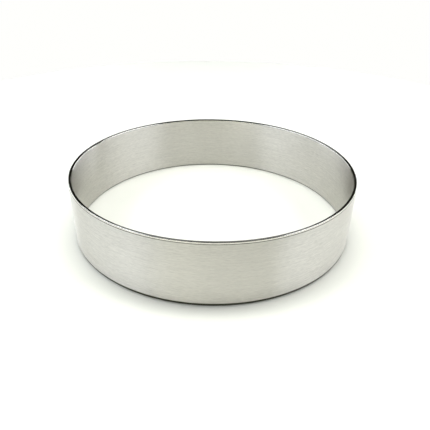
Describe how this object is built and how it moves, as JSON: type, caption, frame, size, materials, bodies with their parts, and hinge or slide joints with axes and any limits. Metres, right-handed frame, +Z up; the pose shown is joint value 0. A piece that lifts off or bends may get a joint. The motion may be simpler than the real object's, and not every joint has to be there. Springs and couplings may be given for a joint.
{
  "type": "mousse ring",
  "caption": "Open round hoop of brushed stainless strip, butt-welded at a flush seam, for moulding mousse, cake and pastry.",
  "frame": {"origin": "centre of the hoop, on the surface that its lower edge stands on", "axes": "+Z up along the hoop's axis, the welded seam at +Y"},
  "size_m": [0.205, 0.205, 0.045],
  "materials": {
    "brushed_strip": "satin, brushed round the hoop, with bright eased edges",
    "dressed_weld": "dressed flush and blended, a little duller than the strip"
  },
  "bodies": {
    "root": {"rolled_band": "brushed_strip", "seam_weld": "dressed_weld"}
  },
  "joints": []
}
